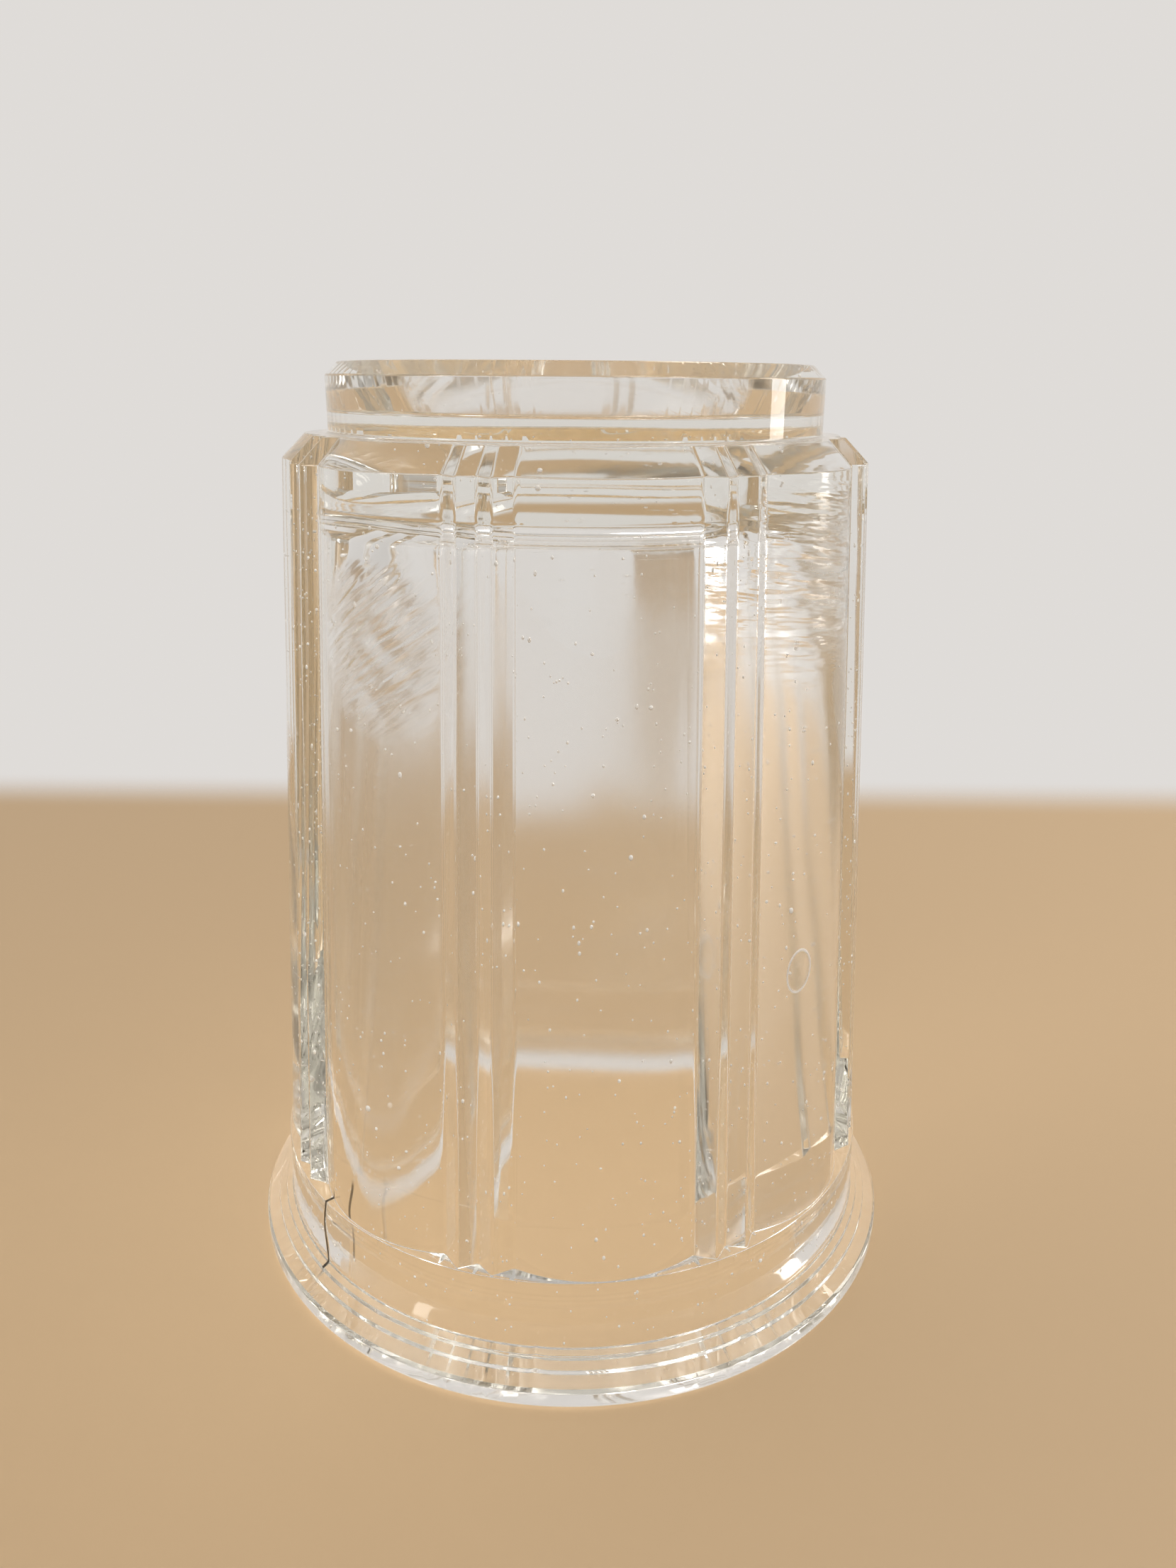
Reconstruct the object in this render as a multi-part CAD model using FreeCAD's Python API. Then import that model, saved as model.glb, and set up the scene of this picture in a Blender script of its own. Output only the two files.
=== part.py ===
import FreeCAD, Part
import math
import os

# Heavy pressed-glass beaker, stood mouth down: the open mouth is on the table and the
# thick foot is on top. Units are millimetres. The origin is the centre of the mouth's
# contact face, +Z runs up the axis, and one wide panel faces -Y.
#
# The real beaker is one piece of glass, pressed between a plunger and a mould. The mould
# shapes it in five zones along the axis, and each zone is a solid of its own here. The
# zones meet face to face and never move.

# Overall size
HEIGHT = 130.0
LIP_RADIUS = 50.0

# Levels along the axis, from the table up
RIM_TOP = 6.2
BAND_TOP = 16.4
CORNER_START = 107.6
CAVITY_CEILING = 111.5
DOME_TOP = 114.4
SHOULDER = 117.8
BEVEL = 3.2
RECESS_FLOOR = 123.5

# Mouth rim: three sloping treads above a rounded lip. A tread's outer edge is given as
# (radius, level), and a small drop leads from it to the next tread.
LIP_ROUND = 0.9
LIP_TOP_ROUND = 0.4
TREAD_EDGES = [(46.8, 5.7), (48.0, 4.5), (49.6, 3.0)]
TREAD_DROP = 0.55
MOUTH_ROUND = 1.5

# Plain band between the rim and the panels
BAND_FOOT_RADIUS = 45.8
BAND_TOP_RADIUS = 45.55

# Panelled body: its outline keeps its shape and shrinks towards the foot
PANELS = 8
CREST_RADIUS = 45.3
PANEL_EDGE_RADIUS = 43.3
VALLEY_RADIUS = 43.5
CREST_HALF_ANGLE = 3.1
PANEL_HALF_ANGLE = 16.0
SHOULDER_CREST_RADIUS = 39.9

# Cavity left by the plunger
MOUTH_RADIUS = 36.5
CORNER_RADIUS = 29.0

# Foot ring
FOOT_RADIUS = 33.6
FOOT_CHAMFER = 1.7
FOOT_FILLET = 1.0
RECESS_MOUTH_RADIUS = 28.0
RECESS_FLOOR_RADIUS = 25.5
RECESS_ROUND = 1.0

LEDGE = SHOULDER + BEVEL
ORIGIN = FreeCAD.Vector(0, 0, 0)
AXIS = FreeCAD.Vector(0, 0, 1)


def polar(radius, angle, level):
    """A point at an angle, in degrees, counted from -Y towards +X."""
    turn = math.radians(angle)
    return FreeCAD.Vector(radius * math.sin(turn), -radius * math.cos(turn), level)


def line(start, end):
    return Part.LineSegment(start, end).toShape()


def arc(start, middle, end):
    return Part.Arc(start, middle, end).toShape()


def quarter(centre, radius, start, end):
    """A quarter arc in a profile, between two directions in degrees from +X."""
    middle = math.radians((start + end) / 2)
    finish = math.radians(end)
    return [(centre[0] + radius * math.cos(angle), centre[1] + radius * math.sin(angle))
            for angle in (middle, finish)]


def rounded(before, corner, after, radius):
    """Moves in a profile that round a corner: to the arc's start, then round to its end."""
    before, corner, after = (FreeCAD.Vector(*point, 0) for point in (before, corner, after))
    back = (before - corner).normalize()
    ahead = (after - corner).normalize()
    half = back.getAngle(ahead) / 2
    start = corner + back * (radius / math.tan(half))
    end = corner + ahead * (radius / math.tan(half))
    inward = (back + ahead).normalize()
    middle = corner + inward * (radius / math.sin(half) - radius)
    return (start.x, start.y), [(middle.x, middle.y), (end.x, end.y)]


def turned(start, *moves):
    """Revolve a closed profile of (radius, level) points about the axis.

    A move is the next corner as a tuple, or a list of a point that an arc passes and
    the point where the arc ends.
    """
    edges = []
    here = FreeCAD.Vector(start[0], 0, start[1])
    for move in moves + (start,):
        stops = move if isinstance(move, list) else [move]
        points = [FreeCAD.Vector(radius, 0, level) for radius, level in stops]
        edges.append(line(here, *points) if len(points) == 1 else arc(here, *points))
        here = points[-1]
    return Part.Face(Part.Wire(edges)).revolve(ORIGIN, AXIS, 360)


def cavity_radius(level):
    """The plunger tapers evenly from the mouth to its rounded corner."""
    return MOUTH_RADIUS + level / CORNER_START * (CORNER_RADIUS - MOUTH_RADIUS)


def body_scale(level):
    """The size of the body's outline at a level, as a share of its size on the band."""
    climb = (level - BAND_TOP) / (SHOULDER - BAND_TOP)
    return 1 + climb * (SHOULDER_CREST_RADIUS / CREST_RADIUS - 1)


def halfway(reach, drop):
    """The point half-way along an arc that starts level and ends at (reach, drop)."""
    bend = (reach ** 2 + drop ** 2) / (2 * drop)
    half = math.asin(reach / bend) / 2
    return bend * math.sin(half), bend * (1 - math.cos(half))


def body_outline(level, scale):
    """Eight wide bowed panels, with a twin rib and its V groove between neighbours.

    A panel is one arc that touches the ribs' circle at its middle and drops below it at
    both edges.
    """
    pitch = 360.0 / PANELS
    edge = scale * PANEL_EDGE_RADIUS
    crest = scale * CREST_RADIUS
    valley = scale * VALLEY_RADIUS
    edges = []
    for index in range(PANELS):
        panel = index * pitch
        rib = panel + pitch / 2
        panel_start = polar(edge, panel - PANEL_HALF_ANGLE, level)
        panel_end = polar(edge, panel + PANEL_HALF_ANGLE, level)
        corners = [
            panel_end,
            polar(crest, rib - CREST_HALF_ANGLE, level),
            polar(valley, rib, level),
            polar(crest, rib + CREST_HALF_ANGLE, level),
            polar(edge, panel + pitch - PANEL_HALF_ANGLE, level),
        ]
        edges.append(arc(panel_start, polar(crest, panel, level), panel_end))
        edges += [line(*pair) for pair in zip(corners, corners[1:])]
    return Part.Wire(edges)


def body_block(low, low_scale, high, high_scale):
    """A solid slice of the panelled body between two levels."""
    sections = [body_outline(low, low_scale), body_outline(high, high_scale)]
    return Part.makeLoft(sections, True, True)


def mouth_rim():
    """The flared lip that the beaker stands on, with its treads."""
    (edge_1, level_1), (edge_2, level_2), (edge_3, level_3) = TREAD_EDGES
    lip_centre = LIP_RADIUS - LIP_ROUND
    mouth_edge = MOUTH_RADIUS + MOUTH_ROUND
    return turned(
        (cavity_radius(RIM_TOP), RIM_TOP),
        (BAND_FOOT_RADIUS, RIM_TOP),
        (edge_1, level_1),
        (edge_1, level_1 - TREAD_DROP),
        (edge_2, level_2),
        (edge_2, level_2 - TREAD_DROP),
        (edge_3, level_3),
        quarter((edge_3, level_3 - LIP_TOP_ROUND), LIP_TOP_ROUND, 90, 0),
        (LIP_RADIUS, LIP_ROUND),
        quarter((lip_centre, LIP_ROUND), LIP_ROUND, 0, -90),
        (mouth_edge, 0.0),
        quarter((mouth_edge, MOUTH_ROUND), MOUTH_ROUND, -90, -180),
    )


def mouth_band():
    """The plain round band that the panels stand on."""
    return turned(
        (cavity_radius(BAND_TOP), BAND_TOP),
        (BAND_TOP_RADIUS, BAND_TOP),
        (BAND_FOOT_RADIUS, RIM_TOP),
        (cavity_radius(RIM_TOP), RIM_TOP),
    )


def panelled_wall():
    """The wall with its panels and ribs, up to the cavity's rounded corner."""
    block = body_block(BAND_TOP, body_scale(BAND_TOP), CORNER_START, body_scale(CORNER_START))
    tall = CORNER_START - BAND_TOP
    base = FreeCAD.Vector(0, 0, BAND_TOP)
    plunger = Part.makeCone(cavity_radius(BAND_TOP), CORNER_RADIUS, tall, base)
    return block.cut(plunger)


def base_slab():
    """The solid base above the cavity's dome, with the faceted bevel round it."""
    ledge_scale = (SHOULDER_CREST_RADIUS - BEVEL) / CREST_RADIUS
    slab = body_block(CORNER_START, body_scale(CORNER_START), SHOULDER, body_scale(SHOULDER))
    bevel = body_block(SHOULDER, body_scale(SHOULDER), LEDGE, ledge_scale)
    round_radius = CAVITY_CEILING - CORNER_START
    round_centre = (CORNER_RADIUS - round_radius, CORNER_START)
    dome_across, dome_down = halfway(round_centre[0], DOME_TOP - CAVITY_CEILING)
    plunger_end = turned(
        (0.0, CORNER_START),
        (CORNER_RADIUS, CORNER_START),
        quarter(round_centre, round_radius, 0, 90),
        [(dome_across, DOME_TOP - dome_down), (0.0, DOME_TOP)],
    )
    return slab.fuse(bevel).cut(plunger_end).removeSplitter()


def foot_ring():
    """The round foot on the ledge, with its chamfered edge and the tapered recess inside it."""
    fillet_centre = (FOOT_RADIUS + FOOT_FILLET, LEDGE + FOOT_FILLET)
    top_edge = (FOOT_RADIUS - FOOT_CHAMFER, HEIGHT)
    recess_mouth = (RECESS_MOUTH_RADIUS, HEIGHT)
    recess_edge = (RECESS_FLOOR_RADIUS, RECESS_FLOOR)
    recess_centre = (0.0, RECESS_FLOOR)
    return turned(
        (0.0, LEDGE),
        (FOOT_RADIUS + FOOT_FILLET, LEDGE),
        quarter(fillet_centre, FOOT_FILLET, 270, 180),
        (FOOT_RADIUS, HEIGHT - FOOT_CHAMFER),
        top_edge,
        *rounded(top_edge, recess_mouth, recess_edge, RECESS_ROUND),
        *rounded(recess_mouth, recess_edge, recess_centre, RECESS_ROUND),
        recess_centre,
    )


os.makedirs("parts", exist_ok=True)
for zone in (mouth_rim, mouth_band, panelled_wall, base_slab, foot_ring):
    solid = zone().Solids[0]
    solid.exportStep("parts/" + zone.__name__ + ".step")
    print(zone.__name__, round(solid.Volume / 1000, 1), "cm3")
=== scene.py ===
import math

import bmesh
import bpy
import numpy as np
from mathutils import Matrix, Vector


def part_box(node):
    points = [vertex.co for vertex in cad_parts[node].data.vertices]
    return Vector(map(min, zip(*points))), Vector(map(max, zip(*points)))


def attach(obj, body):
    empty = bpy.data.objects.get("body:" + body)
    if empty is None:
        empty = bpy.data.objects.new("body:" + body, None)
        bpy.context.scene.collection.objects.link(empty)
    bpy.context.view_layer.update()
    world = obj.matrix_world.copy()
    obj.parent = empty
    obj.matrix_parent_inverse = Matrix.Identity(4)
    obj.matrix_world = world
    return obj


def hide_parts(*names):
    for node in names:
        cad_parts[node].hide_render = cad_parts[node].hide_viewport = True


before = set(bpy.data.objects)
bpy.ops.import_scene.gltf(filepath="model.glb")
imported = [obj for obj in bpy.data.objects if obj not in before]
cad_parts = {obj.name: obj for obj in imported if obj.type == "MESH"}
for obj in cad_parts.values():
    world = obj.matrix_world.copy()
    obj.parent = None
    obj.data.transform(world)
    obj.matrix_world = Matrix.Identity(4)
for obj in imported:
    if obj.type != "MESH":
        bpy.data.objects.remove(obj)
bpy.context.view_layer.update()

# The looks of a heavy pressed-glass beaker that stands mouth down. The glass is one
# continuous piece, so one closed mesh stands for the five zones of the CAD model, and a
# second mesh holds the gas seeds inside it. Lengths are in millimetres until a mesh is
# made. An angle is counted in degrees from -Y towards +X, as in the CAD model.

MM = 0.001


def top_of(node):
    """The highest level of a CAD node, in millimetres."""
    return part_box(node)[1].z / MM


def radius_of(node):
    """The radius that fits in the box of a round CAD node, in millimetres."""
    low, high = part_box(node)
    return min(-low.x, -low.y, high.x, high.y) / MM


# ---------------------------------------------------------------------------------------
# Sizes: the CAD model's where a node's box gives them, and its named values elsewhere
# ---------------------------------------------------------------------------------------

HEIGHT = top_of("foot_ring")
LEDGE = top_of("base_slab")
CORNER_START = top_of("panelled_wall")
BAND_TOP = top_of("mouth_band")
RIM_TOP = top_of("mouth_rim")
LIP_RADIUS = radius_of("mouth_rim")
BAND_FOOT_RADIUS = radius_of("mouth_band")
CREST_RADIUS = radius_of("panelled_wall")

# Mouth rim and band
LIP_ROUND = 0.9
LIP_TOP_ROUND = 0.4
TREAD_EDGES = [(46.8, 5.7), (48.0, 4.5), (49.6, 3.0)]
TREAD_DROP = 0.55
MOUTH_ROUND = 1.5
BAND_TOP_RADIUS = 45.55

# Panelled body
PANELS = 8
PITCH = 360.0 / PANELS
PANEL_EDGE_RADIUS = 43.3
VALLEY_RADIUS = 43.5
CREST_HALF_ANGLE = 3.1
PANEL_HALF_ANGLE = 16.0
BEVEL = 3.2
SHOULDER = LEDGE - BEVEL
SHOULDER_RADIUS = 39.9

# Cavity
MOUTH_RADIUS = 36.5
CORNER_RADIUS = 29.0
CAVITY_CEILING = 111.5
DOME_TOP = 114.4
CORNER_ROUND = CAVITY_CEILING - CORNER_START

# Foot
FOOT_FILLET = 1.0
FOOT_CHAMFER = 1.7
FOOT_RADIUS = radius_of("foot_ring") - FOOT_FILLET
RECESS_MOUTH_RADIUS = 28.0
RECESS_FLOOR_RADIUS = 25.5
RECESS_ROUND = 1.0
RECESS_FLOOR = 123.5

# Fire-polished edges
CREST_SOFTNESS = 0.45
VALLEY_SOFTNESS = 0.5
PANEL_EDGE_SOFTNESS = 0.8
SHOULDER_SOFTNESS = 0.4
CRISP = 0.15

# Mesh spacing, in millimetres along the section
WALL_STEP = 1.2
CAVITY_STEP = 3.4
FLAT_STEP = 3.0
PANEL_STEPS = 30
ROUND_STEPS = 3
CORNER_STEPS = 8
CEILING_STEP = 2.2
CEILING_EDGE_GAP = 1.5
CEILING_MIDDLE_GAP = 1.0
SEAM_STEP = 0.22                # degrees

# A rounding takes at most this share of a side, and a corner this straight has none
ROUND_SHARE = 0.45
STRAIGHT_HALF_ANGLE = 89.5


# ---------------------------------------------------------------------------------------
# Shapes in a plane
# ---------------------------------------------------------------------------------------

def rounded_corner(before, corner, after, radius):
    """Points of the arc that rounds a corner, kept to a little under half of each side."""
    before, corner, after = (np.array(point, float) for point in (before, corner, after))
    back, ahead = before - corner, after - corner
    room = ROUND_SHARE * min(np.linalg.norm(back), np.linalg.norm(ahead))
    back /= np.linalg.norm(back)
    ahead /= np.linalg.norm(ahead)
    half = math.acos(np.clip(back @ ahead, -1, 1)) / 2
    if radius == 0 or half > math.radians(STRAIGHT_HALF_ANGLE):
        return [tuple(corner)]
    reach = min(radius / math.tan(half), room)
    radius = reach * math.tan(half)
    middle = (back + ahead) / np.linalg.norm(back + ahead)
    centre = corner + middle * radius / math.sin(half)
    start = corner + back * reach - centre
    end = corner + ahead * reach - centre
    sweep = math.copysign(math.pi - 2 * half, start[0] * end[1] - start[1] * end[0])
    points = []
    for turn in np.linspace(0, sweep, ROUND_STEPS + 1):
        cos, sin = math.cos(turn), math.sin(turn)
        points.append(tuple(centre + [cos * start[0] - sin * start[1],
                                      sin * start[0] + cos * start[1]]))
    return points


def polar(radius, angle):
    """A point at an angle in degrees from -Y towards +X."""
    turn = math.radians(angle)
    return (radius * math.sin(turn), -radius * math.cos(turn))


def body_scale(level):
    """The size of the body's outline at a level, as a share of its size on the band."""
    climb = max(0, level - BAND_TOP) / (SHOULDER - BAND_TOP)
    return 1 + climb * (SHOULDER_RADIUS / CREST_RADIUS - 1)


def cavity_radius(level):
    """The cavity tapers evenly from the mouth to its rounded corner."""
    return MOUTH_RADIUS + level / CORNER_START * (CORNER_RADIUS - MOUTH_RADIUS)


def panel_arc():
    """A panel centred on -Y: one arc that touches the ribs' circle at its middle."""
    edge = math.radians(PANEL_HALF_ANGLE)
    reach = PANEL_EDGE_RADIUS * math.sin(edge)
    drop = CREST_RADIUS - PANEL_EDGE_RADIUS * math.cos(edge)
    bend = (reach ** 2 + drop ** 2) / (2 * drop)
    half = math.asin(reach / bend)
    return [(bend * math.sin(turn), bend * (1 - math.cos(turn)) - CREST_RADIUS)
            for turn in np.linspace(-half, half, PANEL_STEPS + 1)]


def body_outline():
    """The panelled outline at the band: angles in radians, and radii as shares of the crest's."""
    panel = panel_arc()
    corners = [(point, 0) for point in panel]
    corners[0] = (panel[0], PANEL_EDGE_SOFTNESS)
    corners[-1] = (panel[-1], PANEL_EDGE_SOFTNESS)
    rib = PITCH / 2
    corners.append((polar(CREST_RADIUS, rib - CREST_HALF_ANGLE), CREST_SOFTNESS))
    corners.append((polar(VALLEY_RADIUS, rib), VALLEY_SOFTNESS))
    corners.append((polar(CREST_RADIUS, rib + CREST_HALF_ANGLE), CREST_SOFTNESS))
    whole = []
    for index in range(PANELS):
        turn = math.radians(index * PITCH)
        cos, sin = math.cos(turn), math.sin(turn)
        whole += [((cos * x - sin * y, sin * x + cos * y), soft) for (x, y), soft in corners]
    points = []
    for index, (corner, soft) in enumerate(whole):
        after = whole[(index + 1) % len(whole)][0]
        points += rounded_corner(whole[index - 1][0], corner, after, soft)
    points = np.array(points)
    angles = np.unwrap(np.arctan2(points[:, 0], -points[:, 1]))
    return angles, np.hypot(points[:, 0], points[:, 1]) / CREST_RADIUS


def section():
    """The glass's section, from the recess's centre over the foot, down the outside, round
    the lip and up the cavity: (radius, level, rounding, share of the panelled outline, step).
    """
    (edge_1, level_1), (edge_2, level_2), (edge_3, level_3) = TREAD_EDGES
    return [
        (0.0, RECESS_FLOOR, 0, 0, FLAT_STEP),
        (RECESS_FLOOR_RADIUS, RECESS_FLOOR, RECESS_ROUND, 0, FLAT_STEP),
        (RECESS_MOUTH_RADIUS, HEIGHT, RECESS_ROUND, 0, FLAT_STEP),
        (FOOT_RADIUS - FOOT_CHAMFER, HEIGHT, SHOULDER_SOFTNESS, 0, FLAT_STEP),
        (FOOT_RADIUS, HEIGHT - FOOT_CHAMFER, SHOULDER_SOFTNESS, 0, FLAT_STEP),
        (FOOT_RADIUS, LEDGE, FOOT_FILLET, 0, WALL_STEP),
        (FOOT_RADIUS + FOOT_FILLET, LEDGE, 0, 0, FLAT_STEP),
        (SHOULDER_RADIUS - BEVEL, LEDGE, SHOULDER_SOFTNESS, 1, FLAT_STEP),
        (SHOULDER_RADIUS, SHOULDER, SHOULDER_SOFTNESS, 1, WALL_STEP),
        (CREST_RADIUS, BAND_TOP, CRISP, 1, WALL_STEP),
        (BAND_TOP_RADIUS, BAND_TOP, CRISP, 0, FLAT_STEP),
        (BAND_FOOT_RADIUS, RIM_TOP, SHOULDER_SOFTNESS, 0, WALL_STEP),
        (edge_1, level_1, CRISP, 0, FLAT_STEP),
        (edge_1, level_1 - TREAD_DROP, CRISP, 0, FLAT_STEP),
        (edge_2, level_2, CRISP, 0, FLAT_STEP),
        (edge_2, level_2 - TREAD_DROP, CRISP, 0, FLAT_STEP),
        (edge_3, level_3, LIP_TOP_ROUND, 0, FLAT_STEP),
        (LIP_RADIUS, level_3 - LIP_TOP_ROUND, LIP_TOP_ROUND, 0, FLAT_STEP),
        (LIP_RADIUS, 0.0, LIP_ROUND, 0, FLAT_STEP),
        (MOUTH_RADIUS, 0.0, MOUTH_ROUND, 0, FLAT_STEP),
        (CORNER_RADIUS, CORNER_START, 0, 0, CAVITY_STEP),
    ]


def cavity_end():
    """The section's end: the cavity's rounded corner and the shallow dome of its ceiling."""
    centre = CORNER_RADIUS - CORNER_ROUND
    rise = DOME_TOP - CAVITY_CEILING
    bend = (centre ** 2 + rise ** 2) / (2 * rise)
    rows = []
    for turn in np.linspace(0, math.pi / 2, CORNER_STEPS + 1)[1:]:
        rows.append((centre + CORNER_ROUND * math.cos(turn),
                     CORNER_START + CORNER_ROUND * math.sin(turn)))
    for radius in np.arange(centre - CEILING_EDGE_GAP, CEILING_MIDDLE_GAP, -CEILING_STEP):
        rows.append((radius, DOME_TOP - bend + math.sqrt(bend ** 2 - radius ** 2)))
    rows.append((0.0, DOME_TOP))
    return rows


def section_rows():
    """Rows of the mesh along the section: (radius, level, panelled share) each."""
    corners = section()
    rows = [(corners[0][0], corners[0][1], 0.0)]
    for before, corner, after in zip(corners, corners[1:], corners[2:] + [None]):
        if after is None:
            bend = [(corner[0], corner[1])]
        else:
            bend = rounded_corner(before[:2], corner[:2], after[:2], corner[2])
        start = rows[-1]
        run = math.hypot(bend[0][0] - start[0], bend[0][1] - start[1])
        count = max(1, round(run / corner[4]))
        for share in np.linspace(0, 1, count + 1)[1:-1]:
            rows.append((start[0] + share * (bend[0][0] - start[0]),
                         start[1] + share * (bend[0][1] - start[1]),
                         start[2] + share * (corner[3] - start[2])))
        rows += [(radius, level, corner[3]) for radius, level in bend]
    rows += [(radius, level, 0.0) for radius, level in cavity_end()]
    return np.array(rows)


# ---------------------------------------------------------------------------------------
# Relief of the pressed surfaces, in millimetres out of the glass
# ---------------------------------------------------------------------------------------

BODY_RADIUS = 43.0              # turns an angle on the body into a length

# Ripples: height, usual spacing round and along the beaker, and the seed of the draw
WAVES = 16
WAVE_SPREAD = 1.5
OUTSIDE_RIPPLES = [(0.016, 26.0, 34.0, 11), (0.0012, 8.0, 9.0, 12)]
CAVITY_RIPPLES = [(0.020, 30.0, 40.0, 31), (0.0012, 9.0, 14.0, 32)]
OUTSIDE_FADE = 4.0              # above the rim
CAVITY_FADE = 8.0               # above the table

# Chill marks: the angle and level of a patch's middle, its reach round and along the
# beaker in degrees and millimetres, and its ripples' spacings and seed
CHILL_HEIGHT = 0.12
LEFT_CHILL = (-40.0, 98.0)
LEFT_CHILL_REACH = (10, 15)
LEFT_CHILL_SLANT = 0.5
LEFT_CHILL_RIPPLES = (7.0, 3.2, 21)
RIGHT_CHILL = (41.0, 106.0)
RIGHT_CHILL_REACH = (15, 9)
RIGHT_CHILL_RIPPLES = (12.0, 2.8, 22)

# Mould seam on the band, with a kink
SEAM_ANGLE = -56.4
SEAM_HEIGHT = 0.22
SEAM_HALF_ANGLE = 0.45
SEAM_LEVEL = 10.0
SEAM_REACH = 8.0
SEAM_KINK = 0.8
SEAM_KINK_LEVEL = 12.5
SEAM_KINK_REACH = 5.0

# Nicks that the shears left across the rim's treads
NICK_ANGLES = (-11.5, 23.0)
NICK_HALF_ANGLE = 1.4
NICK_DEPTH = 0.2
NICK_LEVEL = 5.0
NICK_REACH = 4.0


def bell(offset, half_width):
    """1 in the middle and 0 from half_width on, with a smooth slope between."""
    share = np.clip(np.abs(offset) / half_width, 0, 1)
    return 0.5 + 0.5 * np.cos(math.pi * share)


def from_angle(angle, centre):
    """How far an angle is past a centre, from -180 to 180 degrees."""
    return (angle - centre + 180) % 360 - 180


def ripples(angle, level, around, along, seed):
    """Smooth random ripples of about unit height, with usual spacings round and along it."""
    chance = np.random.default_rng(seed)
    total = np.zeros(angle.shape)
    for _ in range(WAVES):
        turns = round(chance.normal() * BODY_RADIUS * math.tau / around / WAVE_SPREAD)
        climb = chance.normal() * math.tau / along / WAVE_SPREAD
        phase = chance.uniform(0, math.tau)
        total += np.cos(turns * np.radians(angle) + climb * level + phase)
    return total * math.sqrt(2 / WAVES)


def all_ripples(angle, level, layers):
    """The sum of some layers of ripples."""
    return sum(height * ripples(angle, level, around, along, seed)
               for height, around, along, seed in layers)


def patch(angle, level, middle, reach):
    """1 at a patch's middle, falling smoothly to 0 at its reach."""
    return bell(from_angle(angle, middle[0]), reach[0]) * bell(level - middle[1], reach[1])


def chill_marks(angle, level):
    """Wrinkles where the glass met a cold mould: high on the panels left and right of front."""
    left = patch(angle, level, LEFT_CHILL, LEFT_CHILL_REACH)
    right = patch(angle, level, RIGHT_CHILL, RIGHT_CHILL_REACH)
    slant = level + LEFT_CHILL_SLANT * BODY_RADIUS * np.radians(angle)
    return CHILL_HEIGHT * (left * ripples(angle, slant, *LEFT_CHILL_RIPPLES)
                           + right * ripples(angle, level, *RIGHT_CHILL_RIPPLES))


def mould_seam(angle, level):
    """The raised line where two mould parts met, with a kink half-way up the band."""
    kink = SEAM_KINK * bell(level - SEAM_KINK_LEVEL, SEAM_KINK_REACH)
    ridge = bell(from_angle(angle, SEAM_ANGLE - kink), SEAM_HALF_ANGLE)
    return SEAM_HEIGHT * ridge * bell(level - SEAM_LEVEL, SEAM_REACH)


def shear_marks(angle, level):
    """The shears' nicks across the rim's treads."""
    nicks = sum(bell(from_angle(angle, nick), NICK_HALF_ANGLE) for nick in NICK_ANGLES)
    return -NICK_DEPTH * nicks * bell(level - NICK_LEVEL, NICK_REACH)


def outside_relief(angle, level):
    """Everything that stands out from the outside of the body and the rim."""
    above_rim = np.clip((level - RIM_TOP) / OUTSIDE_FADE, 0, 1)
    total = all_ripples(angle, level, OUTSIDE_RIPPLES) * above_rim
    total += chill_marks(angle, level)
    return total + mould_seam(angle, level) + shear_marks(angle, level)


def cavity_relief(angle, level):
    """The ripples of the cavity's wall."""
    above_table = np.clip(level / CAVITY_FADE, 0, 1)
    return all_ripples(angle, level, CAVITY_RIPPLES) * above_table


# ---------------------------------------------------------------------------------------
# Meshes
# ---------------------------------------------------------------------------------------

FACE_WEIGHT = 100               # how much the larger faces count in the shading of an edge

# Gas seeds in the wall and in the base: half-sizes in millimetres, and length over width
SEEDS_DRAW = 5
SEEDS = 2050
BASE_SEEDS = 150
SEED_SUBDIVISIONS = 2
SEED_CLEARANCE = 0.9
LOWEST_SEED = 2.5
LOWEST_BASE_SEED = DOME_TOP + 1
SMALLEST_SEED = 0.09
USUAL_SEED = 0.035
LONGEST_SEED = 1.9

# The gas blister under the right front panel
BLISTER_SEGMENTS = 64
BLISTER_RINGS = 24
BLISTER_ANGLE = 39.2
BLISTER_LEVEL = 53.7
BLISTER_RADIUS = 41.6
BLISTER_HALF_WIDTH = 2.4
BLISTER_HALF_HEIGHT = 3.2
BLISTER_HALF_THICKNESS = 0.10
BLISTER_BLUNTNESS = 8


def add_object(name, mesh):
    piece = bpy.data.objects.new(name, mesh)
    bpy.context.scene.collection.objects.link(piece)
    return piece


def seam_columns():
    """Closely spaced angles, in radians, that carry the narrow seam."""
    start = SEAM_ANGLE - (SEAM_KINK + 2 * SEAM_HALF_ANGLE)
    end = SEAM_ANGLE + SEAM_HALF_ANGLE + SEAM_STEP
    return np.radians(np.arange(start, end, SEAM_STEP))


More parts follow.
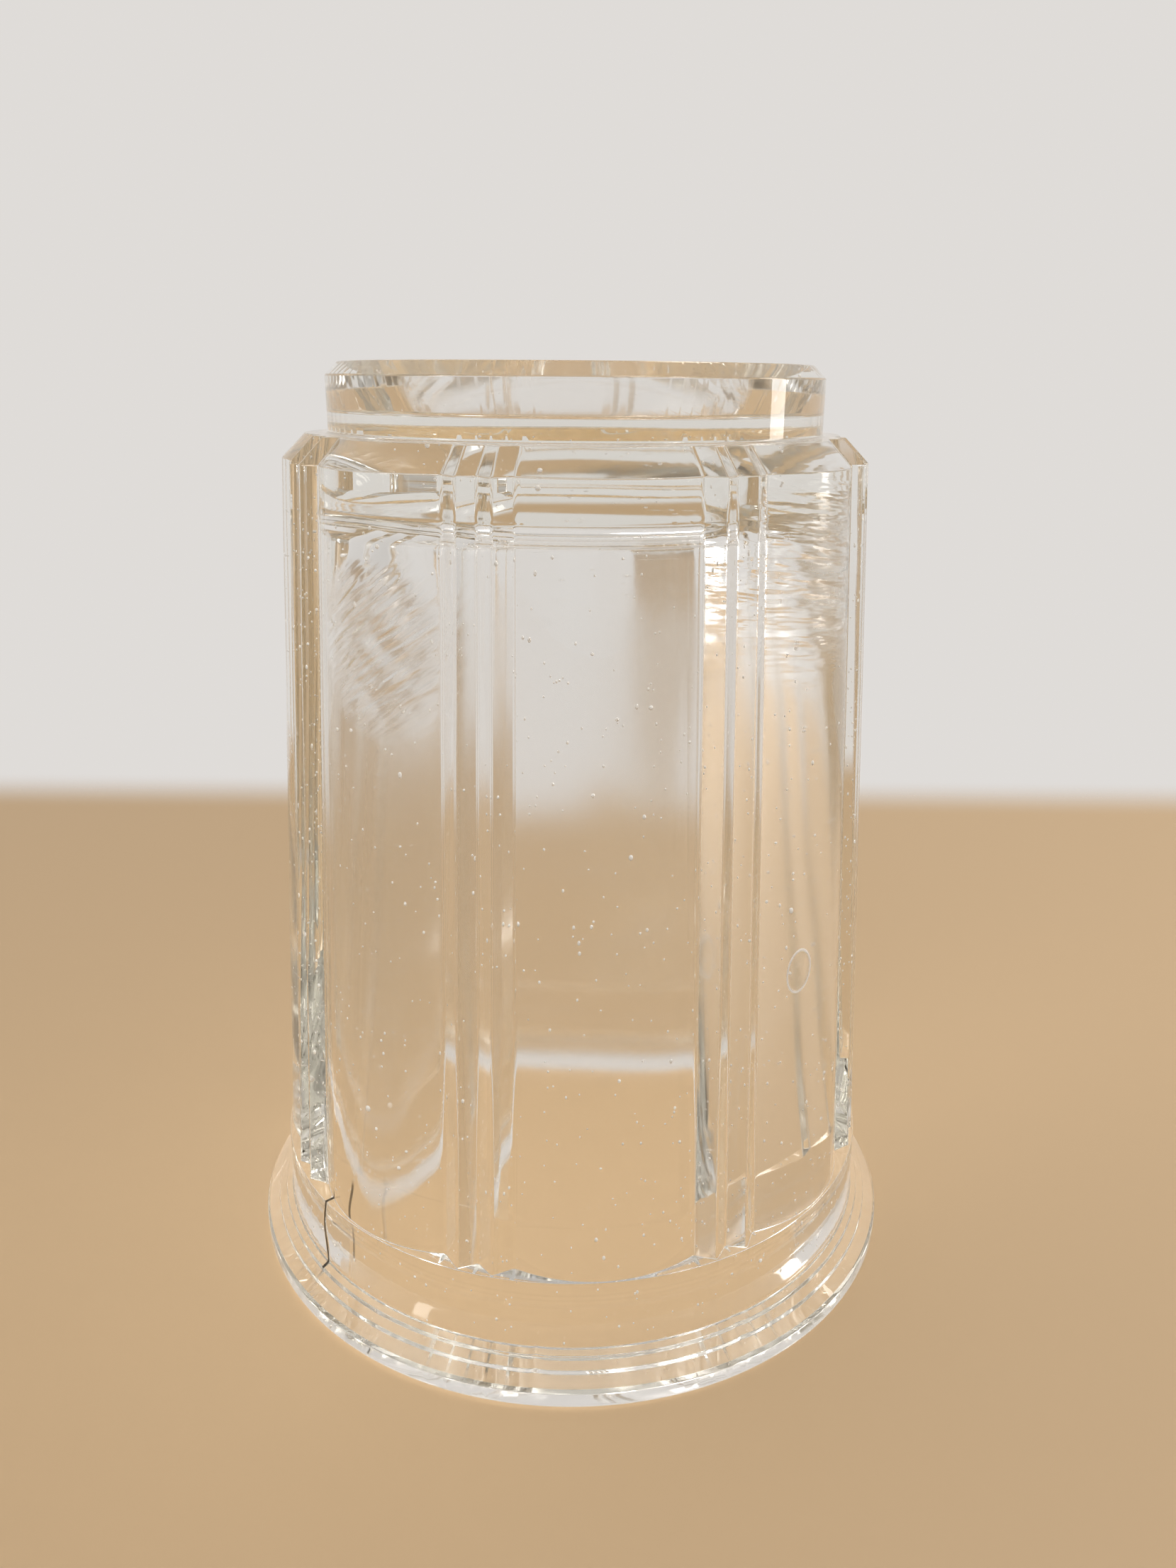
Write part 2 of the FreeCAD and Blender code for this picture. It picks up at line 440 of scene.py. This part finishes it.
def glass_mesh():
    """The whole beaker as one closed surface: rows along the section, columns round it."""
    angles, shares = body_outline()
    extra = (seam_columns() - angles[0]) % math.tau + angles[0]
    extra_shares = np.interp(extra, angles, shares)
    order = np.argsort(np.concatenate([angles, extra]))
    columns = np.concatenate([angles, extra])[order]
    shares = np.concatenate([shares, extra_shares])[order]

    rows = section_rows()
    radius, level, panelled = rows[1:-1, :, None].transpose(1, 0, 2)
    lip = int(np.argmax(level[:, 0] <= 0))
    radius = radius * (panelled * shares + 1 - panelled)
    level = level + 0 * radius
    angle = np.degrees(columns) + 0 * radius
    radius[:lip] += outside_relief(angle[:lip], level[:lip])
    radius[lip:] -= cavity_relief(angle[lip:], level[lip:])
    radius = np.minimum(radius, LIP_RADIUS)

    turn = np.radians(angle)
    points = np.stack([radius * np.sin(turn), -radius * np.cos(turn), level], -1) * MM
    count, width = points.shape[:2]
    here = np.arange(count - 1)[:, None] * width + np.arange(width)
    beside = np.arange(count - 1)[:, None] * width + (np.arange(width) + 1) % width
    faces = np.stack([here, here + width, beside + width, beside], -1).reshape(-1, 4).tolist()
    first, last = count * width, count * width + 1
    final_row = (count - 1) * width
    for index in range(width):
        after = (index + 1) % width
        faces.append([first, index, after])
        faces.append([last, final_row + after, final_row + index])
    poles = [[0, 0, rows[0][1] * MM], [0, 0, rows[-1][1] * MM]]
    mesh = bpy.data.meshes.new("beaker_glass")
    mesh.from_pydata(points.reshape(-1, 3).tolist() + poles, [], faces)
    return mesh


def make_glass():
    """The glass, with its normals facing out and its large faces shaded evenly."""
    mesh = glass_mesh()
    work = bmesh.new()
    work.from_mesh(mesh)
    bmesh.ops.recalc_face_normals(work, faces=work.faces)
    for face in work.faces:
        face.smooth = True
    work.to_mesh(mesh)
    work.free()
    glass = add_object("beaker_glass", mesh)
    evened = glass.modifiers.new("even_shading", "WEIGHTED_NORMAL")
    evened.weight = FACE_WEIGHT
    return glass


def seed_place(chance, in_base):
    """A random place in the glass, clear of its surfaces: radius, angle and level."""
    angle = chance.uniform(0, math.tau)
    if in_base:
        edge = FOOT_RADIUS - SEED_CLEARANCE
        radius = edge * math.sqrt(chance.uniform(0, 1))
        return radius, angle, chance.uniform(LOWEST_BASE_SEED, LEDGE)
    level = chance.uniform(LOWEST_SEED, CAVITY_CEILING)
    inside = cavity_radius(level) + SEED_CLEARANCE
    outside = PANEL_EDGE_RADIUS * body_scale(level) - SEED_CLEARANCE
    return chance.uniform(inside, outside), angle, level


def bubble_form():
    """A ball's points and faces, with the faces turned to look inwards."""
    work = bmesh.new()
    bmesh.ops.create_icosphere(work, subdivisions=SEED_SUBDIVISIONS, radius=1.0)
    points = np.array([vertex.co for vertex in work.verts])
    faces = np.array([[vertex.index for vertex in reversed(face.verts)] for face in work.faces])
    work.free()
    return points, faces


def blister_form():
    """A flat oval gas blister with a blunt edge, just under the right front panel."""
    work = bmesh.new()
    bmesh.ops.create_uvsphere(work, u_segments=BLISTER_SEGMENTS, v_segments=BLISTER_RINGS,
                              radius=1.0)
    across, out, up = np.array([vertex.co for vertex in work.verts]).T
    faces = [[vertex.index for vertex in reversed(face.verts)] for face in work.faces]
    work.free()
    spread = np.minimum(1.0, np.hypot(across, up))
    out = np.copysign(np.sqrt(1 - spread ** BLISTER_BLUNTNESS), out)
    across, out = BLISTER_HALF_WIDTH * across, BLISTER_RADIUS + BLISTER_HALF_THICKNESS * out
    turn = math.radians(BLISTER_ANGLE)
    points = np.stack([out * math.sin(turn) + across * math.cos(turn),
                       across * math.sin(turn) - out * math.cos(turn),
                       BLISTER_LEVEL + BLISTER_HALF_HEIGHT * up], -1)
    return points, faces


def make_seeds():
    """Gas seeds: small closed bubbles whose surfaces face into the gas, as glass holds them."""
    chance = np.random.default_rng(SEEDS_DRAW)
    form, form_faces = bubble_form()
    points, faces = blister_form()
    points = points.tolist()
    for index in range(SEEDS + BASE_SEEDS):
        radius, angle, level = seed_place(chance, index >= SEEDS)
        size = SMALLEST_SEED + chance.exponential(USUAL_SEED)
        stretch = chance.uniform(1.0, LONGEST_SEED)
        place = (radius * math.sin(angle), -radius * math.cos(angle), level)
        faces += (form_faces + len(points)).tolist()
        points += (place + form * (size, size, size * stretch)).tolist()
    mesh = bpy.data.meshes.new("gas_seeds")
    mesh.from_pydata((np.array(points) * MM).tolist(), [], faces)
    mesh.shade_smooth()
    return add_object("gas_seeds", mesh)


# ---------------------------------------------------------------------------------------
# Materials
# ---------------------------------------------------------------------------------------

GLASS_IOR = 1.51
GLASS_TINT = (0.87, 0.865, 0.80)
TINT_DENSITY = 8.5

# Noise is given as its features' size in millimetres along each axis, its detail and,
# where it is turned, its turn in degrees. A bump's depth is in metres.

# The inside: its roughness, and the levels between which it turns from polished to satin
# and back. A point is inside while its radius, plus a share of its level for the taper, is
# small enough.
SATIN = 0.17
POLISHED = 0.05
SATIN_RISE = (20, 60)
SATIN_FALL = (98, 108)
INSIDE_TAPER = 0.06
INSIDE_EDGE = (39.2, 40.4)

# Smudges, from none to full, and the fine unevenness of the surface
SMUDGE_NOISE = ((18, 18, 18), 5.0)
SMUDGE_RANGE = (0.45, 0.75)
SMUDGE_ROUGHNESS = 0.05
PEEL_NOISE = ((3, 3, 3), 2.0)
PEEL_DEPTH = 0.0000025
DRAG_NOISE = ((3.5, 3.5, 50), 2.0)
DRAG_DEPTH = 0.000004

# Wrinkles of the chill marks, slanting on the left and nearly level on the right. They are
# full over a share of their reach.
WRINKLE_ROUGHNESS = 0.42
WRINKLE_DEPTH = 0.0009
LEFT_WRINKLES = ((8.0, 8.0, 1.4), 1.5, (0, -35, LEFT_CHILL[0]))
LEFT_WRINKLE_REACH = 12
RIGHT_WRINKLES = ((9.0, 9.0, 1.5), 2.0, (0, 6, RIGHT_CHILL[0]))
RIGHT_WRINKLE_REACH = 16
FULL_SHARE = 0.25

# A fine dark line on the mould seam: its half-width in degrees and its half-length in
# millimetres, each where it is full and where it is gone
SEAM_LINE_COLOUR = (0.004, 0.003, 0.002, 1)
SEAM_LINE_HALF_ANGLE = (0.20, 0.42)
SEAM_LINE_LEVEL = 11.4
SEAM_LINE_REACH = (5.6, 7.0)

# Seeds: how much light goes straight through, the rest a painted white glint, and where the
# blister's painted white edge begins
SEED_CLARITY = 0.2
SEED_ROUGHNESS = 0.12
SEED_NOISE = ((1.1, 1.1, 1.1), 3.0)
SEED_RANGE = (0.3, 0.7)
BLISTER_GLINT_EDGE = (0.84, 0.94)


class Tree:
    """A material's node tree, with short calls to add and join nodes."""

    def __init__(self, name):
        self.material = bpy.data.materials.new(name)
        self.material.use_nodes = True
        self.nodes = self.material.node_tree.nodes
        self.links = self.material.node_tree.links
        self.shader = self.nodes["Principled BSDF"]
        self.output = self.nodes["Material Output"]

    def add(self, kind, **settings):
        node = self.nodes.new(kind)
        for name, value in settings.items():
            setattr(node, name, value)
        return node

    def join(self, start, end):
        self.links.new(start, end)

    def object_place(self):
        return self.add("ShaderNodeTexCoord").outputs["Object"]

    def axis(self, place, name):
        """One coordinate of a place."""
        split = self.add("ShaderNodeSeparateXYZ")
        self.join(place, split.inputs["Vector"])
        return split.outputs[name]

    def noise(self, place, size, detail, turn=(0, 0, 0)):
        """Noise with features of a size in millimetres along each axis, turned in degrees."""
        mapping = self.add("ShaderNodeMapping", vector_type="TEXTURE")
        mapping.inputs["Scale"].default_value = [length * MM for length in size]
        mapping.inputs["Rotation"].default_value = [math.radians(angle) for angle in turn]
        self.join(place, mapping.inputs["Vector"])
        noise = self.add("ShaderNodeTexNoise")
        noise.inputs["Scale"].default_value = 1.0
        noise.inputs["Detail"].default_value = detail
        self.join(mapping.outputs["Vector"], noise.inputs["Vector"])
        return noise.outputs["Fac"]

    def ranged(self, value, low, high, start, end):
        """Maps low..high smoothly to start..end."""
        node = self.add("ShaderNodeMapRange", interpolation_type="SMOOTHSTEP")
        for name, setting in (("From Min", low), ("From Max", high),
                              ("To Min", start), ("To Max", end)):
            node.inputs[name].default_value = setting
        self.join(value, node.inputs["Value"])
        return node.outputs["Result"]

    def math(self, operation, first, second=0):
        """The result of an operation on two values, each a number or a socket."""
        node = self.add("ShaderNodeMath", operation=operation)
        for socket, value in zip(node.inputs, (first, second)):
            if isinstance(value, (int, float)):
                socket.default_value = value
            else:
                self.join(value, socket)
        return node.outputs["Value"]

    def near(self, place, centre, reach):
        """1 round a centre, falling smoothly to 0 at reach, all in metres."""
        gap = self.add("ShaderNodeVectorMath", operation="DISTANCE")
        gap.inputs[1].default_value = centre
        self.join(place, gap.inputs[0])
        return self.ranged(gap.outputs["Value"], FULL_SHARE * reach, reach, 1.0, 0.0)

    def bump(self, height, distance, onto=None):
        node = self.add("ShaderNodeBump")
        node.inputs["Distance"].default_value = distance
        self.join(height, node.inputs["Height"])
        if onto is not None:
            self.join(onto, node.inputs["Normal"])
        return node.outputs["Normal"]


def glass_shader(tree):
    """Sets a tree's shader to plain clear glass."""
    shader = tree.shader
    shader.inputs["Base Color"].default_value = (1, 1, 1, 1)
    shader.inputs["Transmission Weight"].default_value = 1.0
    shader.inputs["IOR"].default_value = GLASS_IOR


def on_panel(angle, level):
    """A point on the panelled wall, in metres."""
    return Vector((*polar(CREST_RADIUS * body_scale(level), angle), level)) * MM


def on_inside(tree, place):
    """1 on the cavity and the recess, which the press formed, and 0 on the outside."""
    flat = tree.add("ShaderNodeVectorMath", operation="MULTIPLY")
    flat.inputs[1].default_value = (1, 1, 0)
    tree.join(place, flat.inputs[0])
    radius = tree.add("ShaderNodeVectorMath", operation="LENGTH")
    tree.join(flat.outputs["Vector"], radius.inputs[0])
    level = tree.math("MULTIPLY", tree.axis(place, "Z"), INSIDE_TAPER)
    reach = tree.math("ADD", radius.outputs["Value"], level)
    inner, outer = INSIDE_EDGE
    return tree.ranged(reach, inner * MM, outer * MM, 1.0, 0.0)


def inside_satin(tree, place):
    """The roughness of the inside, and 0 on the outside."""
    level = tree.axis(place, "Z")
    start, full = SATIN_RISE
    rise = tree.ranged(level, start * MM, full * MM, POLISHED, SATIN)
    start, gone = SATIN_FALL
    fall = tree.ranged(level, start * MM, gone * MM, SATIN, POLISHED)
    return tree.math("MULTIPLY", on_inside(tree, place), tree.math("MINIMUM", rise, fall))


def seam_dark_line(tree, place):
    """1 on a fine dark line along the mould seam on the band, and 0 elsewhere."""
    back = tree.math("MULTIPLY", tree.axis(place, "Y"), -1.0)
    angle = tree.math("ARCTAN2", tree.axis(place, "X"), back)
    level = tree.axis(place, "Z")
    from_kink = tree.math("ABSOLUTE", tree.math("SUBTRACT", level, SEAM_KINK_LEVEL * MM))
    kink = tree.ranged(from_kink, 0.0, SEAM_KINK_REACH * MM, math.radians(SEAM_KINK), 0.0)
    past_seam = tree.math("SUBTRACT", angle, math.radians(SEAM_ANGLE))
    gap = tree.math("ABSOLUTE", tree.math("ADD", past_seam, kink))
    full, gone = SEAM_LINE_HALF_ANGLE
    line = tree.ranged(gap, math.radians(full), math.radians(gone), 1.0, 0.0)
    from_middle = tree.math("ABSOLUTE", tree.math("SUBTRACT", level, SEAM_LINE_LEVEL * MM))
    full, gone = SEAM_LINE_REACH
    return tree.math("MULTIPLY", line, tree.ranged(from_middle, full * MM, gone * MM, 1.0, 0.0))


def chill_wrinkles(tree, place):
    """Wrinkles of chilled glass high on two panels, from 0 to 1."""
    left = tree.noise(place, *LEFT_WRINKLES)
    right = tree.noise(place, *RIGHT_WRINKLES)
    left_patch = tree.near(place, on_panel(*LEFT_CHILL), LEFT_WRINKLE_REACH * MM)
    right_patch = tree.near(place, on_panel(*RIGHT_CHILL), RIGHT_WRINKLE_REACH * MM)
    return tree.math("ADD", tree.math("MULTIPLY", left, left_patch),
                     tree.math("MULTIPLY", right, right_patch))


def clear_glass():
    """Fire-polished outside, satin where the press touched it, chilled and tinted."""
    tree = Tree("clear_glass")
    glass_shader(tree)
    place = tree.object_place()
    wrinkles = chill_wrinkles(tree, place)

    smudges = tree.noise(place, *SMUDGE_NOISE)
    smudges = tree.ranged(smudges, *SMUDGE_RANGE, 0.0, SMUDGE_ROUGHNESS)
    frost = tree.math("MULTIPLY", wrinkles, WRINKLE_ROUGHNESS)
    outside = tree.math("ADD", smudges, frost)
    rough = tree.math("MAXIMUM", inside_satin(tree, place), outside)
    tree.join(rough, tree.shader.inputs["Roughness"])

    normal = tree.bump(tree.noise(place, *PEEL_NOISE), PEEL_DEPTH)
    normal = tree.bump(tree.noise(place, *DRAG_NOISE), DRAG_DEPTH, normal)
    normal = tree.bump(wrinkles, WRINKLE_DEPTH, normal)
    tree.join(normal, tree.shader.inputs["Normal"])

    # The glass's colour turns to a fine dark line along the mould seam.
    seam_line_ramp = tree.add("ShaderNodeValToRGB")
    seam_line_ramp.color_ramp.elements[0].color = (1, 1, 1, 1)
    seam_line_ramp.color_ramp.elements[1].color = SEAM_LINE_COLOUR
    tree.join(seam_dark_line(tree, place), seam_line_ramp.inputs["Fac"])
    tree.join(seam_line_ramp.outputs["Color"], tree.shader.inputs["Base Color"])

    tint = tree.add("ShaderNodeVolumeAbsorption")
    tint.inputs["Color"].default_value = (*GLASS_TINT, 1)
    tint.inputs["Density"].default_value = TINT_DENSITY
    tree.join(tint.outputs["Volume"], tree.output.inputs["Volume"])
    return tree.material


def from_blister(tree, place):
    """How far a place is from the blister's middle, as a share of its half-size."""
    middle = Vector((*polar(BLISTER_RADIUS, BLISTER_ANGLE), BLISTER_LEVEL)) * MM
    half_size = Vector((BLISTER_HALF_WIDTH, BLISTER_HALF_WIDTH, BLISTER_HALF_HEIGHT)) * MM
    mapping = tree.add("ShaderNodeMapping", vector_type="TEXTURE")
    mapping.inputs["Location"].default_value = middle
    mapping.inputs["Rotation"].default_value = (0, 0, math.radians(BLISTER_ANGLE))
    mapping.inputs["Scale"].default_value = half_size
    tree.join(place, mapping.inputs["Vector"])
    share = tree.add("ShaderNodeVectorMath", operation="LENGTH")
    tree.join(mapping.outputs["Vector"], share.inputs[0])
    return share.outputs["Value"]


def seed_glass_painted_glint():
    """A bubble's wall: mostly painted white to stand in for its glints, a little uneven, and
    clear in the middle of the blister.
    """
    tree = Tree("seed_glass_painted_glint")
    glass_shader(tree)
    place = tree.object_place()
    grain = tree.noise(place, *SEED_NOISE)
    rough = tree.ranged(grain, *SEED_RANGE, 0.0, SEED_ROUGHNESS)
    tree.join(rough, tree.shader.inputs["Roughness"])
    # Painted glint: the seed walls and the blister's edge are mostly white diffuse instead of
    # clear.
    clear = tree.ranged(from_blister(tree, place), *BLISTER_GLINT_EDGE, 1.0, SEED_CLARITY)
    tree.join(clear, tree.shader.inputs["Transmission Weight"])
    return tree.material


# ---------------------------------------------------------------------------------------
# The object
# ---------------------------------------------------------------------------------------

glass = make_glass()
glass.data.materials.append(clear_glass())
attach(glass, "root")
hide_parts("mouth_rim", "mouth_band", "panelled_wall", "base_slab", "foot_ring")

seeds = make_seeds()
seeds.data.materials.append(seed_glass_painted_glint())
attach(seeds, "root")

# The lamps shine through the glass, so that the floor inside it is as bright as outside.
for piece in (glass, seeds):
    piece.visible_shadow = False


# ---------------------------------------------------------------------------------------
# Floor, light and camera
# ---------------------------------------------------------------------------------------

# Camera: its turn round the beaker, dip and roll, and its place before the turn
CAMERA_TURN = math.radians(-6.7)
CAMERA_DIP = math.radians(18.58)
CAMERA_ROLL = math.radians(0.5)
CAMERA_PLACE = Vector((0.042, -3.469, 2.561)) * LIP_RADIUS * MM
LENS = 27.67
SENSOR = 36.0
CLIP_START = 0.01
TURN = Matrix.Rotation(CAMERA_TURN, 4, "Z")

# Floor, in metres: how far it reaches, and where it fades out
FLOOR_BEHIND = 3.95 * LIP_RADIUS * MM
FLOOR_FADE = 0.35 * LIP_RADIUS * MM
FLOOR_AHEAD = 0.9
FLOOR_HALF_WIDTH = 1.2
FLOOR_GAP = 0.00005
FLOOR_COLOUR = (0.52, 0.37, 0.215, 1)
FLOOR_ROUGHNESS = 0.6

# Surroundings: one colour behind the beaker and one ahead of it, where the camera is. They
# blend between two cosines of the angle to the camera's line of sight.
BEHIND_COLOUR = (0.74, 0.715, 0.69)
BEHIND_FROM = 0.5
AHEAD_COLOUR = (0.48, 0.455, 0.43)
AHEAD_FROM = -0.8

# How often light may bend or bounce on its way through the glass
GLASS_BOUNCES = 24
GLOSSY_BOUNCES = 12

# Lamps aimed at the beaker: name, place and size in metres, and power in watts
LAMP_COLOUR = (1.0, 0.95, 0.88)
LAMPS = [
    ("overhead", (0.30, 0.35, 0.90), (0.25, 0.25), 2.2),
    ("key", (0.50, -0.35, 0.75), (0.12, 0.12), 0.9),
    ("left_strip", (-0.55, -0.30, 0.35), (0.08, 0.35), 0.5),
    ("right_strip", (0.62, 0.10, 0.26), (0.12, 0.35), 0.9),
]


def make_floor():
    """A plain pale floor, level with the rim, that fades out some way behind the beaker."""
    low, high = -FLOOR_AHEAD, FLOOR_BEHIND + FLOOR_FADE
    corners = [(-FLOOR_HALF_WIDTH, low), (FLOOR_HALF_WIDTH, low),
               (FLOOR_HALF_WIDTH, high), (-FLOOR_HALF_WIDTH, high)]
    mesh = bpy.data.meshes.new("floor")
    mesh.from_pydata([(x, y, -FLOOR_GAP) for x, y in corners], [], [(0, 1, 2, 3)])
    floor = add_object("floor", mesh)
    floor.matrix_world = TURN
    tree = Tree("floor")
    tree.shader.inputs["Base Color"].default_value = FLOOR_COLOUR
    tree.shader.inputs["Roughness"].default_value = FLOOR_ROUGHNESS
    back = tree.axis(tree.object_place(), "Y")
    fade = tree.ranged(back, FLOOR_BEHIND - FLOOR_FADE, high, 1.0, 0.0)
    tree.join(fade, tree.shader.inputs["Alpha"])
    floor.data.materials.append(tree.material)


def vector_input(node, name):
    """A node's vector input, where a hidden number input has the same name."""
    return next(socket for socket in node.inputs
                if socket.name == name and socket.type == "VECTOR")


def make_world():
    """Soft studio surroundings, paler behind the beaker than behind the camera."""
    world = bpy.data.worlds.new("studio")
    world.use_nodes = True
    bpy.context.scene.world = world
    nodes, links = world.node_tree.nodes, world.node_tree.links
    place = nodes.new("ShaderNodeTexCoord")
    facing = nodes.new("ShaderNodeVectorMath")
    facing.operation = "DOT_PRODUCT"
    facing.inputs[1].default_value = TURN @ Vector((0, 1, 0))
    ramp = nodes.new("ShaderNodeMapRange")
    ramp.data_type = "FLOAT_VECTOR"
    ramp.interpolation_type = "SMOOTHSTEP"
    for name, setting in (("From Min", [AHEAD_FROM] * 3), ("From Max", [BEHIND_FROM] * 3),
                          ("To Min", AHEAD_COLOUR), ("To Max", BEHIND_COLOUR)):
        vector_input(ramp, name).default_value = setting
    links.new(place.outputs["Generated"], facing.inputs[0])
    links.new(facing.outputs["Value"], vector_input(ramp, "Vector"))
    links.new(ramp.outputs["Vector"], nodes["Background"].inputs["Color"])
    world.cycles.sampling_method = "NONE"


def make_lamp(name, place, size, power):
    """A rectangular lamp, aimed at the middle of the beaker."""
    light = bpy.data.lights.new(name, "AREA")
    light.shape = "RECTANGLE"
    light.size, light.size_y = size
    light.energy = power
    light.color = LAMP_COLOUR
    lamp = add_object(name, light)
    lamp.location = TURN @ Vector(place)
    aim = Vector((0, 0, HEIGHT / 2 * MM)) - lamp.location
    lamp.rotation_euler = aim.to_track_quat("-Z", "Y").to_euler()


def make_camera():
    """The camera, at the photograph's viewing angle."""
    camera = bpy.data.cameras.new("camera")
    camera.lens = LENS
    camera.sensor_width = SENSOR
    camera.clip_start = CLIP_START
    view = add_object("camera", camera)
    tilt = Matrix.Rotation(math.pi / 2 - CAMERA_DIP, 4, "X")
    roll = Matrix.Rotation(CAMERA_ROLL, 4, "Z")
    view.matrix_world = TURN @ Matrix.Translation(CAMERA_PLACE) @ tilt @ roll
    bpy.context.scene.camera = view


make_floor()
make_world()
for lamp in LAMPS:
    make_lamp(*lamp)
make_camera()

scene = bpy.context.scene
scene.view_settings.view_transform = "Standard"
scene.cycles.use_denoising = True
scene.cycles.max_bounces = GLASS_BOUNCES
scene.cycles.transmission_bounces = GLASS_BOUNCES
scene.cycles.glossy_bounces = GLOSSY_BOUNCES
